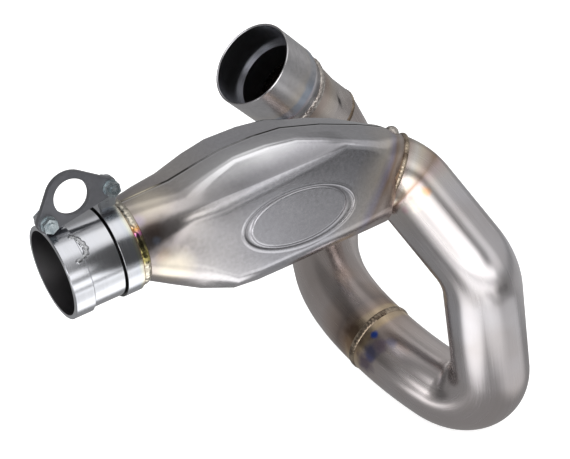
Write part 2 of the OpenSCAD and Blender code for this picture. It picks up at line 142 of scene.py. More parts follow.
def window(tree, value, a, b, c, d):
    """0 up to a, 1 from b to c, 0 again from d, smooth between."""
    return product(tree, smooth_step(tree, value, a, b), smooth_step(tree, value, d, c))


def zone(tree, az, el, box, soft):
    """1 inside a box of azimuth and elevation, in degrees, with soft edges."""
    a0, a1, e0, e1 = box
    return product(tree, window(tree, az, a0 - soft, a0, a1, a1 + soft),
                   window(tree, el, e0 - soft, e0, e1, e1 + soft))


def pool(tree, place, centre, radii):
    """1 inside an oval on the floor, falling softly to 0 outside it."""
    near = vector_node(tree, "SUBTRACT", place, (*centre, FLOOR_Z))
    scaled = vector_node(tree, "MULTIPLY", near, (1 / radii[0], 1 / radii[1], 0))
    return smooth_step(tree, vector_node(tree, "LENGTH", scaled), 1.15, 0.7)


def blend_to(tree, base, factor, level):
    """base * (1 - factor) + level * factor."""
    node = add(tree, "ShaderNodeMix", {"Factor": factor, 2: base, 3: level}, data_type="FLOAT")
    return node.outputs[0]


# %% World
SKY_LEVEL = 0.30
SKY_ZONES = [    # azimuth from and to, elevation from and to; brightness; width of the edge
    ((-180, -112, 32, 62), 0.17, 10),    # dim back of the studio
    ((140, 180, 25, 62), 0.30, 10),
    ((25, 115, -40, 44), 0.58, 12),      # pale wall on the right
    ((22, 40, 8, 46), 1.1, 8),           # with a light strip at its edge
    ((-180, 180, 70, 90), 0.55, 10),     # ceiling
    ((12, 78, 50, 82), 1.3, 8),          # softbox overhead
    ((78, 150, 66, 84), 0.6, 8),
    ((120, 148, 50, 66), 0.9, 8),
    ((-112, -92, 5, 60), 0.15, 10),      # dark gap on the left
    ((-71, 12, -30, 8), 2.5, 8),         # softbox in front, wide below
    ((-47, -8, 0, 35), 2.5, 9),          # and narrower above
    ((8, 17, 18, 42), 0.22, 6)]          # dark stand beside it
world = bpy.data.worlds.new("studio")
bpy.context.scene.world = world
world.use_nodes = True
t = world.node_tree
t.nodes.clear()
east, north, height = add(t, "ShaderNodeSeparateXYZ", {
    0: add(t, "ShaderNodeTexCoord").outputs["Generated"]}).outputs
south = math_node(t, "MULTIPLY", north, -1.0)
az = math_node(t, "MULTIPLY", math_node(t, "ARCTAN2", east, south), math.degrees(1))
el = math_node(t, "MULTIPLY", math_node(t, "ARCSINE", height), math.degrees(1))
level = SKY_LEVEL
for box, brightness, soft in SKY_ZONES:
    level = blend_to(t, level, zone(t, az, el, box, soft), brightness)
soft_sky = add(t, "ShaderNodeBackground", {"Color": (1, 0.995, 0.99, 1), "Strength": level})
white = add(t, "ShaderNodeBackground", {"Color": (1, 1, 1, 1), "Strength": 1.0})
pick = add(t, "ShaderNodeMixShader", {
    0: add(t, "ShaderNodeLightPath").outputs["Is Camera Ray"],
    1: soft_sky.outputs[0], 2: white.outputs[0]})
add(t, "ShaderNodeOutputWorld", {"Surface": pick.outputs[0]})
print("world nodes:", len(t.nodes))


# %% Meshes and sheets
def to_object(bm, name):
    mesh = bpy.data.meshes.new(name)
    bm.to_mesh(mesh)
    bm.free()
    piece = bpy.data.objects.new(name, mesh)
    bpy.context.scene.collection.objects.link(piece)
    return piece


def sheet(name, width, depth, place):
    """A flat sheet about the origin, then put in place by a matrix."""
    bm = bmesh.new()
    bmesh.ops.create_grid(bm, x_segments=1, y_segments=1, size=0.5)
    bmesh.ops.scale(bm, verts=bm.verts, vec=(width, depth, 1))
    bmesh.ops.transform(bm, verts=bm.verts, matrix=place)
    return to_object(bm, name)


# %% Floor
FLOOR_Z = cad_box[0][2] - 0.5 * MM
FLOOR_SIZE = 12
FLOOR_GLOW = 0.72
MIRRORED_LEVEL = 0.33
POOLS = [    # centre, radii, brightness
    ((0.56, 0.05), (0.22, 0.32), 0.55), ((0.29, -0.15), (0.09, 0.08), 0.8),
    ((-0.35, -0.62), (0.80, 0.46), 2.0), ((0.36, -0.48), (0.17, 0.17), 0.08),
    ((0.130, -0.350), (0.075, 0.060), 0.35), ((0.117, -0.258), (0.055, 0.040), 1.7),
    ((0.072, -0.085), (0.075, 0.085), 1.9), ((0.16, -0.19), (0.09, 0.055), 1.3),
    ((0.03, -0.17), (0.08, 0.07), 1.2)]
floor = sheet("floor", FLOOR_SIZE, FLOOR_SIZE, Matrix.Translation((0, 0, FLOOR_Z)))
mat, t = blank_material("studio floor")
path = add(t, "ShaderNodeLightPath")
here = object_place(t)
mirrored = MIRRORED_LEVEL
for centre, radii, brightness in POOLS:
    mirrored = blend_to(t, mirrored, pool(t, here, centre, radii), brightness)
seen = math_node(t, "MAXIMUM", path.outputs["Is Glossy Ray"],
                 path.outputs["Is Transmission Ray"])
diffuse = add(t, "ShaderNodeBsdfDiffuse", {"Color": (0.8, 0.8, 0.8, 1)})
glow = add(t, "ShaderNodeEmission", {"Color": (1, 1, 1, 1), "Strength": math_node(
    t, "MULTIPLY", path.outputs["Is Camera Ray"], FLOOR_GLOW)})
lit = add(t, "ShaderNodeAddShader", {0: diffuse.outputs[0], 1: glow.outputs[0]})
shown = add(t, "ShaderNodeEmission", {"Color": (1, 1, 1, 1), "Strength": mirrored})
both = add(t, "ShaderNodeMixShader", {0: seen, 1: lit.outputs[0], 2: shown.outputs[0]})
add(t, "ShaderNodeOutputMaterial", {"Surface": both.outputs[0]})
floor.data.materials.append(mat)
print("floor at", round(FLOOR_Z, 4))

# %% Black flag
# A small dark card with soft edges close to the collar, seen only in reflections.
FLAG_AT = (0.050, -0.07, 0.016)
FLAG_WIDTH, FLAG_HEIGHT = 0.062, 0.092
FLAG_LEVEL = 0.08
flag = sheet("black_flag", FLAG_WIDTH, FLAG_HEIGHT,
             Matrix.Translation(FLAG_AT) @ Matrix.Rotation(math.radians(90), 4, "X"))
for ray in ("camera", "diffuse", "shadow", "transmission"):
    setattr(flag, "visible_" + ray, False)
mat, t = blank_material("black flag")
off = vector_node(t, "SUBTRACT", object_place(t), FLAG_AT)
reach = vector_node(t, "LENGTH", vector_node(
    t, "MULTIPLY", off, (2 / FLAG_WIDTH, 0, 2 / FLAG_HEIGHT)))
dark = add(t, "ShaderNodeEmission", {"Color": (1, 1, 1, 1), "Strength": FLAG_LEVEL})
card = add(t, "ShaderNodeMixShader", {0: smooth_step(t, reach, 0.72, 1.0), 1: dark.outputs[0],
                                      2: add(t, "ShaderNodeBsdfTransparent").outputs[0]})
add(t, "ShaderNodeOutputMaterial", {"Surface": card.outputs[0]})
flag.data.materials.append(mat)
print("black flag at", FLAG_AT)


# %% Lamps
def softbox(name, at, target, size, power):
    """A square area lamp at a place, turned to a target. The sky already shows the
    softboxes to the metal, so the lamps only light the floor and the plate."""
    data = bpy.data.lights.new(name, "AREA")
    data.shape = "RECTANGLE"
    data.size, data.size_y = size
    data.energy = power
    lamp = bpy.data.objects.new(name, data)
    lamp.location = at
    lamp.rotation_euler = (Vector(target) - Vector(at)).to_track_quat("-Z", "Y").to_euler()
    lamp.visible_glossy = False
    bpy.context.scene.collection.objects.link(lamp)


middle = (0.12, 0.02, -0.07)
softbox("key softbox", (-0.35, -0.55, 0.75), middle, (0.6, 0.6), 3.0)
softbox("top softbox", (0.15, 0.25, 0.9), middle, (0.9, 0.6), 3.0)

# %% [markdown]
# ## The bend table
# A pipe bender works from a list: run straight, roll the pipe, bend it by so much round a
# die. The same list drives this model. A frame, kept as a matrix, walks down the pipe:
# its Z is the pipe's heading and its X points to the middle of the next bend.

# %% Bend table
TUBE_R = 22.225
WALL = 1.2
RISER_R = 24.3
# Each step: ("run", length) or ("bend", roll, radius, turn), in mm and degrees.
FRONT = [("run", 2.6), ("bend", 0, 28, 34), ("run", 43.9), ("bend", 77.1, 30.5, 42.7),
         ("run", 55.1), ("bend", -6, 26.4, 116.3), ("run", 2), ("bend", 114.3, 113.3, 20.5),
         ("run", 3)]
SIDE = [("run", 3), ("bend", 0, 113.3, 36.7), ("run", 11.8), ("bend", -105.2, 36, 124.3),
        ("run", 3), ("bend", -118.2, 34, 44.7), ("run", 16.2)]
MITRE_ROLL, MITRE_TURN = 93.4, 23.6
RISER_LENGTH = 36.7
print("bends:", sum(step[0] == "bend" for step in FRONT + SIDE))


# %% Walking frame
def move(x=0.0, y=0.0, z=0.0):
    return Matrix.Translation(Vector((x, y, z)) * MM)


def turn(degrees, axis):
    return Matrix.Rotation(math.radians(degrees), 4, axis)


def heading(at):
    return at.to_3x3() @ Vector((0, 0, 1))


def past(radius, degrees):
    """From the start of a bend to its end."""
    return move(x=radius) @ turn(degrees, "Y") @ move(x=-radius)


def walk(at, steps):
    for step in steps:
        if step[0] == "run":
            at = at @ move(z=step[1])
        else:
            at = at @ turn(step[1], "Z") @ past(step[2], step[3])
    return at


inlet = move(199.6, 0, -26.9) @ turn(-40.1, "X") @ turn(90, "Y") @ turn(43, "Y")
loop_joint = walk(inlet, FRONT)
mitre = walk(loop_joint, SIDE) @ turn(MITRE_ROLL, "Z")
mitre_seam = mitre @ turn(MITRE_TURN / 2, "Y")
socket = mitre @ turn(MITRE_TURN, "Y") @ move(z=RISER_LENGTH)
for name, at in (("loop joint", loop_joint), ("mitre", mitre), ("socket", socket)):
    print(name, [round(x * 1000, 1) for x in at.translation])

# %% [markdown]
# ## The two bent tubes
# A tube can be a curve with a round bevel, but a curve carries no finish that follows the
# metal. Here a ring of vertices is spun round the die, a few degrees a step, and extruded
# along the straights. Each ring also writes down how far along the pipe it lies. That
# number and the place on the round go into a vector called pipe, which the finishes read.

# %% Rings of a tube
NOTES = ("across", "up", "along")
SIDES = 80
RUN_STEP, BEND_STEP = 8, 2.5      # mm and degrees between two rings, about


def noted_bmesh():
    bm = bmesh.new()
    for note in NOTES:
        bm.verts.layers.float.new(note)
    return bm


def ring_at(bm, at, radius):
    """A ring of vertices round the pipe, with its place on the round noted."""
    verts = bmesh.ops.create_circle(bm, segments=SIDES, radius=radius * MM,
                                    cap_ends=False)["verts"]
    for v in verts:
        v[bm.verts.layers.float["across"]] = v.co.x
        v[bm.verts.layers.float["up"]] = v.co.y
    bmesh.ops.transform(bm, matrix=at, verts=verts)
    return list({e for v in verts for e in v.link_edges})


def run_on(bm, edges, vec):
    """The ring pulled straight on. Gives the new vertices and edges."""
    out = bmesh.ops.extrude_edge_only(bm, edges=edges)["geom"]
    verts = [g for g in out if isinstance(g, bmesh.types.BMVert)]
    bmesh.ops.translate(bm, verts=verts, vec=vec)
    return verts, [g for g in out if isinstance(g, bmesh.types.BMEdge)
                   and all(v in verts for v in g.verts)]


def spin_on(bm, edges, at, radius, degrees):
    """The ring spun round the die. Gives the new vertices and edges."""
    out = bmesh.ops.spin(bm, geom=edges, cent=at @ Vector((radius * MM, 0, 0)),
                         axis=at.to_3x3() @ Vector((0, 1, 0)), angle=math.radians(degrees),
                         steps=1, use_merge=False, use_duplicate=False)["geom_last"]
    return ([g for g in out if isinstance(g, bmesh.types.BMVert)],
            [g for g in out if isinstance(g, bmesh.types.BMEdge)])


# %% Bend a tube
def bend_tube(at, steps, radius, s=0.0):
    """A bent tube, open at both ends, with its notes, and where it ends along the pipe."""
    bm = noted_bmesh()
    edges = ring_at(bm, at, radius)
    along = bm.verts.layers.float["along"]
    for v in bm.verts:
        v[along] = s
    for step in steps:
        if step[0] == "run":
            parts = max(1, round(step[1] / RUN_STEP))
            d = step[1] / parts
        else:
            at = at @ turn(step[1], "Z")
            parts = max(3, round(step[3] / BEND_STEP))
            d = step[3] / parts
        for _ in range(parts):
            if step[0] == "run":
                verts, edges = run_on(bm, edges, at.to_3x3() @ Vector((0, 0, d * MM)))
                at, s = at @ move(z=d), s + d * MM
            else:
                verts, edges = spin_on(bm, edges, at, step[2], d)
                at, s = at @ past(step[2], d), s + math.radians(d) * step[2] * MM
            for v in verts:
                v[along] = s
    return bm, s


def crisp_over(bm, degrees):
    """Smooth faces, and sharp edges where the surface turns by more than that."""
    for f in bm.faces:
        f.smooth = True
    for e in bm.edges:
        e.smooth = len(e.link_faces) == 2 and e.calc_face_angle(0) < math.radians(degrees)


def finish_piece(bm, name, smooth_angle):
    """Turns a bmesh into an object, with its notes as the vector called pipe."""
    bmesh.ops.recalc_face_normals(bm, faces=bm.faces)
    crisp_over(bm, smooth_angle)
    layers = bm.verts.layers.float
    pipe = []
    if "along" in layers:
        pipe = [v[layers[note]] for v in bm.verts for note in NOTES]
    piece = to_object(bm, name)
    if pipe:
        piece.data.attributes.new("pipe", "FLOAT_VECTOR", "POINT").data.foreach_set(
            "vector", pipe)
        for note in NOTES:
            piece.data.attributes.remove(piece.data.attributes[note])
    return piece


# %% Front and side tubes
SKIN_R = TUBE_R - 0.03            # a little inside the CAD tube
CUT_LENGTH = 14                   # what the side tube runs on, to be cut at the mitre
TUBE_ANGLE = 35                   # degrees; a tube has sharp edges above it


def tube_piece(bm, name):
    piece = finish_piece(bm, name, TUBE_ANGLE)
    solid = piece.modifiers.new("wall", "SOLIDIFY")
    solid.thickness = WALL * MM
    solid.offset = -1
    return piece


bm, front_end = bend_tube(inlet, FRONT, SKIN_R)
front_tube = tube_piece(bm, "front_tube")
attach(front_tube, "root")
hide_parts("front_bend_tube")

longer = SIDE[:-1] + [("run", SIDE[-1][1] + CUT_LENGTH)]
bm = bend_tube(loop_joint, longer, SKIN_R, s=front_end)[0]
bmesh.ops.bisect_plane(bm, geom=bm.verts[:] + bm.edges[:] + bm.faces[:],
                       plane_co=mitre_seam.translation, plane_no=heading(mitre_seam),
                       clear_outer=True)
side_tube = tube_piece(bm, "side_tube")
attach(side_tube, "root")
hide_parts("side_bend_tube")
print("front tube ends after", round(front_end * 1000), "mm; side tube has",
      len(side_tube.data.vertices), "points")

# %% [markdown]
# ## The chamber halves
# The chamber is stamped from sheet, so its faces run into each other in soft creases. The
# CAD meshes are right in shape but come as loose triangles. A merged copy of each half can
# share its normals over gentle angles and stay crisp at the real creases.

# %% Smooth copies of CAD nodes
FACE_Y = -24.0                    # the flat face that carries the badge
CREASE = 24                       # degrees


def smooth_copy(node, name, face=None):
    """face is the y of the badge face; what stands on it is levelled, because the badge's
    relief is a piece of its own."""
    bm = bmesh.new()
    bm.from_mesh(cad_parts[node].data)
    for v in bm.verts:
        if face is not None and v.co.y < face:
            v.co.y = face
    bmesh.ops.remove_doubles(bm, verts=bm.verts, dist=0.002 * MM)
    crisp_over(bm, CREASE)
    piece = to_object(bm, name)
    if "custom_normal" in piece.data.attributes:
        piece.data.attributes.remove(piece.data.attributes["custom_normal"])
    piece.data.materials.clear()
    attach(piece, "root")
    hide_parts(node)
    return piece


front_half = smooth_copy("chamber_front_shell", "front_half", face=FACE_Y * MM)
rear_half = smooth_copy("chamber_rear_shell", "rear_half")
for piece in (front_half, rear_half):
    print(piece.name, len(piece.data.polygons), "faces")

# %% [markdown]
# ## The badge
# The badge is a bare oval: an outer lip that falls steeply inwards, a channel, and a low
# pad that stands up again. Each row of its profile is an oval pushed out or in by so much
# and lifted off the face by so much, and the rows are joined one after the other.

# %% Badge relief
OUTER = (127.8, -14.1, 33.7, 16.1, 7.2)     # centre X and Z, half length, half height, tilt
INNER = (127.3, -13.4, 28.3, 14.1, 5.2)
BADGE_ROWS = [(OUTER, 1.8, -0.2), (OUTER, 1.8, 0.01), (OUTER, 1.0, 0.1), (OUTER, 0.15, 0.24),
              (OUTER, -0.1, 0.2), (OUTER, -0.4, 0.03), (INNER, 0.45, 0.03),
              (INNER, 0.1, 0.3), (INNER, -0.15, 0.36), (INNER, -0.7, 0.36),
              (INNER, -3.5, 0.33)]
AROUND = 144


def oval_point(oval, offset, lift, i):
    """A point of an oval in the badge face, pushed out along its normal and lifted."""
    x, z, half_long, half_high, tilt = oval
    c, s = math.cos(2 * math.pi * i / AROUND), math.sin(2 * math.pi * i / AROUND)
    out = Vector((c / half_long, s / half_high)).normalized() * offset
    flat = turn(tilt, "Y").to_3x3() @ Vector((half_long * c + out.x, 0, half_high * s + out.y))
    return Vector((x + flat.x, FACE_Y - lift, z + flat.z)) * MM


bm = bmesh.new()
rows = [[bm.verts.new(oval_point(*row, i)) for i in range(AROUND)] for row in BADGE_ROWS]
for low, high in zip(rows, rows[1:]):
    for i in range(AROUND):
        k = (i + 1) % AROUND
        bm.faces.new((low[i], low[k], high[k], high[i]))
for row in (rows[0], rows[-1]):
    bm.faces.new(row)
badge = finish_piece(bm, "badge_relief", 60)
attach(badge, "root")
print("badge relief:", len(badge.data.vertices), "points")

# %% [markdown]
# ## Weld beads
# A hand weld is a row of small overlapping puddles. An oval section is spun round the
# pipe, and then its skin is pushed in and out in a wave whose crests bow backwards, the
# way each puddle freezes over the last one.

# %% Rippled beads
BEAD_ANGLE = 60                   # degrees; beads have no sharp edges below it
BEAD_SECTION, BEAD_STEPS = 14, 360
CREST_BOW = 1.3                   # how far a crest bows back, in radians of the wave


def weld_ring(name, at, radius, width, rise, puddles, node=None, ripple=0.22):
    """A rippled bead round the pipe at a frame."""
    bm = noted_bmesh()
    for v in bmesh.ops.create_circle(bm, segments=BEAD_SECTION, radius=MM,
                                     cap_ends=False)["verts"]:
        v.co = Vector((v.co.x * rise + radius * MM, 0, v.co.y * width / 2))
    bmesh.ops.spin(bm, geom=bm.verts[:] + bm.edges[:], cent=(0, 0, 0), axis=(0, 0, 1),
                   angle=2 * math.pi, steps=BEAD_STEPS, use_merge=True, use_duplicate=False)
    notes = bm.verts.layers.float
    for v in bm.verts:
        r, a, z = math.hypot(v.co.x, v.co.y), math.atan2(v.co.y, v.co.x), v.co.z / MM
        wobble = 0.12 * math.sin(5 * a + 1) + 0.08 * math.sin(11 * a)
        wave = math.sin(puddles * a + CREST_BOW * (z / (width / 2)) ** 2)
        proud = max(0.0, (r / MM - radius) / rise)
        r += rise * MM * proud * (ripple * wave + wobble)
        v.co.x, v.co.y = r * math.cos(a), r * math.sin(a)
        v.co.z += 0.05 * width * MM * wobble
        v[notes["across"]], v[notes["up"]], v[notes["along"]] = v.co.x, v.co.y, z * MM
    bmesh.ops.transform(bm, matrix=at, verts=bm.verts)
    piece = finish_piece(bm, name, BEAD_ANGLE)
    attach(piece, "root")
    if node:
        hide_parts(node)
    return piece


collar_axis = turn(90, "Y")
inlet_bead = weld_ring("inlet_bead", inlet @ move(z=0.4), TUBE_R, 3.2, 1.1, 62,
                       "chamber_inlet_weld", ripple=0.12)
loop_bead = weld_ring("loop_bead", loop_joint, TUBE_R, 4.0, 0.65, 58, "loop_weld")
riser_bead = weld_ring("riser_bead", mitre_seam, TUBE_R, 2.6, 0.5, 60)
collar_bead = weld_ring("collar_bead", collar_axis @ move(z=40.2), TUBE_R + 0.1, 5.4, 1.5, 34,
                        "collar_weld", ripple=0.1)
socket_bead = weld_ring("socket_bead", socket @ move(z=-0.4), RISER_R, 5.0, 1.3, 48,
                        "socket_weld", ripple=0.1)
print("beads:", [b.name for b in (inlet_bead, loop_bead, riser_bead, collar_bead, socket_bead)])

# %% Crescent weld on the collar
# A row of puddles that leaves the thick lip, bulges over the sleeve and comes back. Each
# place is the distance from the mouth, the angle from the top and the radius there.
LIP = [(9.4, 29, 24.5), (11.8, 33, 23.6), (13.2, 41, 23.5), (13.6, 48, 23.5), (12.6, 54, 23.5),
       (10.2, 57, 24.0), (7.2, 59, 24.6)]
PUDDLES_A_STEP = 4
LAST_STEP = len(LIP) - 2
bm = bmesh.new()
for i in range((LAST_STEP + 1) * PUDDLES_A_STEP + 1):
    k = min(i // PUDDLES_A_STEP, LAST_STEP)
    share = i / PUDDLES_A_STEP - k
    x, angle, r = (p + (q - p) * share for p, q in zip(LIP[k], LIP[k + 1]))
    puddle = bmesh.ops.create_uvsphere(bm, u_segments=20, v_segments=10, radius=MM)["verts"]
    size = 1.0 + 0.2 * math.sin(1.7 * i)
    bmesh.ops.scale(bm, verts=puddle, vec=(1.5 * size, 1.3 * size, 0.75))
    bmesh.ops.transform(bm, verts=puddle, matrix=move(x) @ turn(angle, "X") @ move(z=r))
lip_bead = finish_piece(bm, "lip_bead", BEAD_ANGLE)
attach(lip_bead, "root")
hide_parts("lip_weld")
print("crescent:", len(lip_bead.data.polygons), "faces")

# %% [markdown]
# ## Steel
# Every finish here starts from one recipe: a metal whose colour drifts a little over
# large patches, whose roughness and height follow a fine grain, and which takes layers of
# heat colour, of painted shade and of painted highlights. Stretching the grain in one
# direction makes brush marks; stretching it round the part makes turning marks.


# %% Steel recipe
def noise(tree, place, scale, detail, roughness=0.5):
    return add(tree, "ShaderNodeTexNoise", {"Vector": place, "Scale": scale, "Detail": detail,
                                            "Roughness": roughness}).outputs["Fac"]


def spread_out(tree, value, edge, low, high):
    """Noise from edge to 1 - edge, stretched to run from low to high."""
    return add(tree, "ShaderNodeMapRange", {"Value": value, "From Min": edge, "From Max": 1 - edge,
                                            "To Min": low, "To Max": high}).outputs[0]


def new_metal(name, base, dark, rough, grain, spread=0.07, bump=0.08, follow=None,
              patch=28.0, metallic=1.0, fine=3.0, streaks=0.1):
    """A steel. grain is the grain's scale along X, Y and Z of its coordinates, which are
    those of the object, or of the attribute that follow names."""
    mat, t = blank_material(name)
    place = run = object_place(t)
    if follow:
        run = add(t, "ShaderNodeAttribute", attribute_name=follow).outputs["Vector"]
    stretched = add(t, "ShaderNodeMapping", {"Vector": run, "Scale": grain}).outputs[0]
    marks = noise(t, stretched, 1.0, fine, 0.6)
    tone = spread_out(t, noise(t, place, patch, 2.0), 0.35, 0.0, 1.0)
    colour = add(t, "ShaderNodeMix", {"Factor": tone, 6: (*dark, 1), 7: (*base, 1)},
                 data_type="RGBA").outputs[2]
    colour = add(t, "ShaderNodeVectorMath", {
        0: colour, "Scale": spread_out(t, marks, 0.3, 1 - streaks, 1.03)},
        operation="SCALE").outputs[0]
    height = add(t, "ShaderNodeBump", {"Strength": bump, "Distance": 0.2 * MM,
                                       "Height": marks}).outputs[0]
    shader = add(t, "ShaderNodeBsdfPrincipled", {
        "Metallic": metallic, "Normal": height,
        "Roughness": spread_out(t, marks, 0.3, rough - spread, rough + spread)})
    add(t, "ShaderNodeOutputMaterial", {"Surface": shader.outputs[0]})
    return {"mat": mat, "tree": t, "place": place, "run": run, "colour": colour,
            "shader": shader}


def layer(metal, factor, colour):
    """Lays a colour, three numbers or a socket, over the metal by a factor."""
    if not isinstance(colour, bpy.types.NodeSocket):
        colour = (*colour, 1)
    metal["colour"] = add(metal["tree"], "ShaderNodeMix", {
        "Factor": factor, 6: metal["colour"], 7: colour}, data_type="RGBA").outputs[2]


def ready(metal):
    """Links the last colour layer and gives the material back."""
    metal["tree"].links.new(metal["colour"], metal["shader"].inputs["Base Color"])
    return metal["mat"]


def give(material, *names):
    """Puts a material on nodes that are shown as CAD has them."""
    for name in names:
        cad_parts[name].data.materials[0] = material


# %% [markdown]
# ## Heat colours
# Steel that has been hot grows a thin oxide film. With the heat it turns straw, brown,
# purple and blue, so the colours lie in bands beside a weld. A band here is a colour ramp
# over the distance from the weld, pushed about by noise, because a torch never moves
# evenly. Single hot spots are round patches with a soft edge. The same bands and patches
# also lay painted highlights and painted shade in places.


# %% Distances
def coordinate(metal, axis, of="place"):
    return add(metal["tree"], "ShaderNodeSeparateXYZ", {0: metal[of]}).outputs[axis]


def from_axis(metal, at):
    """Distance from the axis of a frame."""
    t = metal["tree"]
    off = vector_node(t, "SUBTRACT", metal["place"], at.translation[:])
    return vector_node(t, "LENGTH", vector_node(t, "CROSS_PRODUCT", off, heading(at)[:]))


def from_plane(metal, at):
    """Signed distance from the plane of a frame, positive down the pipe."""
    t = metal["tree"]
    off = vector_node(t, "SUBTRACT", metal["place"], at.translation[:])
    return vector_node(t, "DOT_PRODUCT", off, heading(at)[:])


def from_oval(metal, oval):
    """Signed distance from an oval on the badge face, in metres; inside is negative."""
    t = metal["tree"]
    x, z, half_long, half_high, tilt = oval
    off = vector_node(t, "SUBTRACT", metal["place"], (x * MM, FACE_Y * MM, z * MM))
    c, s = math.cos(math.radians(tilt)), math.sin(math.radians(tilt))
    flat = add(t, "ShaderNodeCombineXYZ", {
        0: vector_node(t, "DOT_PRODUCT", off, (c, 0, -s)),
        1: vector_node(t, "DOT_PRODUCT", off, (s, 0, c))}).outputs[0]
    size, slope = (vector_node(t, "LENGTH", vector_node(
        t, "MULTIPLY", flat, ((half_long * MM) ** -power, (half_high * MM) ** -power, 0)))
        for power in (1, 2))
    over = product(t, math_node(t, "SUBTRACT", size, 1.0), size)
    return math_node(t, "DIVIDE", over, slope)


# %% Bands and spots
def wander(metal, scale, amount):
    """Noise about zero, in metres, that moves a band's edges."""
    t = metal["tree"]
    about = math_node(t, "SUBTRACT", noise(t, metal["place"], scale, 3.0), 0.5)
    return math_node(t, "MULTIPLY", about, 2 * amount)


def band(metal, distance, low, high, stops, shift=0.0015, uneven=0.5, seed=60.0):
    """Heat colours over a distance that runs from low to high. Each stop is a distance in
    metres and a colour with its strength. seed is the scale of the noise."""
    t = metal["tree"]
    d = math_node(t, "ADD", distance, wander(metal, seed, shift))
    fac = add(t, "ShaderNodeMapRange", {"Value": d, "From Min": low, "From Max": high})
    tint = add(t, "ShaderNodeValToRGB", {"Fac": fac.outputs[0]})
    elements = tint.color_ramp.elements
    while len(elements) < len(stops):
        elements.new(0.5)
    for element, (x, colour) in zip(elements, stops):
        element.position, element.color = (x - low) / (high - low), colour
    share = spread_out(t, noise(t, metal["place"], 0.55 * seed, 2.0), 0.35, 1 - uneven, 1.0)
    layer(metal, product(t, tint.outputs["Alpha"], share), tint.outputs["Color"])


def spot(metal, centre, radius, colour, strength, shift=0.0012, squash=(1, 1, 1)):
    """A soft round patch of colour; squash below 1 makes it longer along an axis."""
    t = metal["tree"]
    off = vector_node(t, "SUBTRACT", metal["place"], centre)
    d = vector_node(t, "LENGTH", vector_node(t, "MULTIPLY", off, squash))
    d = math_node(t, "ADD", d, wander(metal, 180, shift))
    fac = add(t, "ShaderNodeMapRange", {"Value": d, "From Min": 0.35 * radius,
                                        "From Max": radius, "To Min": strength,
                                        "To Max": 0.0}).outputs[0]
    layer(metal, fac, colour)


def dark_inside(metal, at, radius, colour, rough):
    """Shade inside a bore, and a duller metal there."""
    t = metal["tree"]
    inside = smooth_step(t, from_axis(metal, at), (radius + 0.25) * MM, (radius - 0.25) * MM)
    layer(metal, product(t, inside, 0.9), colour)
    roughness = metal["shader"].inputs["Roughness"]
    t.links.new(blend_to(t, roughness.links[0].from_socket, inside, rough), roughness)


# %% Colours of hot steel, of painted shade and of painted highlights
# SHADE is for painted shade and SHINE for painted highlights; CREAM is a heat colour and also a
# painted highlight.
SHADE, SHINE, CREAM = (0.16, 0.155, 0.165), (0.86, 0.86, 0.88), (0.86, 0.78, 0.62)
STRAW, GOLD, TAN = (0.74, 0.62, 0.44), (0.62, 0.44, 0.20), (0.52, 0.38, 0.28)
BROWN, DARK_BROWN, UMBER = (0.34, 0.22, 0.14), (0.16, 0.10, 0.07), (0.56, 0.46, 0.41)
PURPLE, SKY = (0.27, 0.19, 0.30), (0.26, 0.36, 0.50)


def a(colour, alpha):
    return (*colour, alpha)


# %% Tube steel
tube = new_metal("drawn tube steel", (0.62, 0.605, 0.63), (0.53, 0.50, 0.50), 0.25,
                 (900, 900, 16), follow="pipe", bump=0.008, spread=0.03, streaks=0.05)
s = coordinate(tube, "Z", of="run")
band(tube, s, 0.1, 0.5, [
    (0.11, a(UMBER, 0.0)), (0.15, a(UMBER, 0.4)), (front_end, a(UMBER, 0.45)),
    (front_end + 0.02, a(UMBER, 0.65)), (0.48, a(UMBER, 0.55))], shift=0.01, seed=25)
band(tube, s, 0.0, 0.04, [
    (0.0005, a(BROWN, 0.85)), (0.003, a(TAN, 0.6)), (0.006, a(CREAM, 0.45)),
    (0.009, a(STRAW, 0.7)), (0.0115, a(TAN, 0.8)), (0.0138, a(BROWN, 0.95)),
    (0.0165, a((0.60, 0.42, 0.38), 0.6)), (0.022, a(STRAW, 0.2)), (0.036, a(STRAW, 0.0))],
    shift=0.0028, seed=45)
band(tube, s, front_end - 0.03, front_end + 0.03, [
    (front_end + x, a(colour, strength)) for x, colour, strength in (
        (-0.029, BROWN, 0.0), (-0.012, BROWN, 0.35), (-0.0075, BROWN, 0.5),
        (-0.005, GOLD, 0.7), (0.0045, GOLD, 0.7), (0.0065, BROWN, 0.85),
        (0.013, DARK_BROWN, 0.75), (0.022, BROWN, 0.3), (0.029, BROWN, 0.0))],
    shift=0.003, seed=50)
for centre, radius, colour, strength in (
        ((0.2033, -0.0294, -0.0290), 0.0035, (0.80, 0.42, 0.20), 0.7),
        ((0.1916, -0.0237, -0.0381), 0.0032, (0.60, 0.36, 0.42), 0.5),
        ((0.1905, -0.0206, -0.0283), 0.0060, (0.07, 0.05, 0.04), 0.85),
        # a painted highlight in cream beside the inlet bead
        ((0.1960, -0.0282, -0.0351), 0.0045, CREAM, 0.6),
        ((0.1796, 0.0285, -0.1409), 0.0120, DARK_BROWN, 0.85),
        ((0.1762, 0.0305, -0.1476), 0.0080, BROWN, 0.7),
        ((0.1771, 0.0184, -0.1543), 0.0085, (0.11, 0.08, 0.14), 0.7),
        ((0.1802, 0.0151, -0.1468), 0.0070, (0.10, 0.12, 0.30), 0.7),
        ((0.1855, 0.0112, -0.1424), 0.0060, PURPLE, 0.6),
        ((0.1911, 0.0075, -0.1404), 0.0045, (0.12, 0.16, 0.36), 0.45),
        ((0.1865, 0.0180, -0.1383), 0.0030, (0.04, 0.13, 0.65), 0.95)):
    spot(tube, centre, radius, colour, strength, shift=0.5 * radius)
spot(tube, (0.201, 0.065, -0.123), 0.010, UMBER, 0.55)
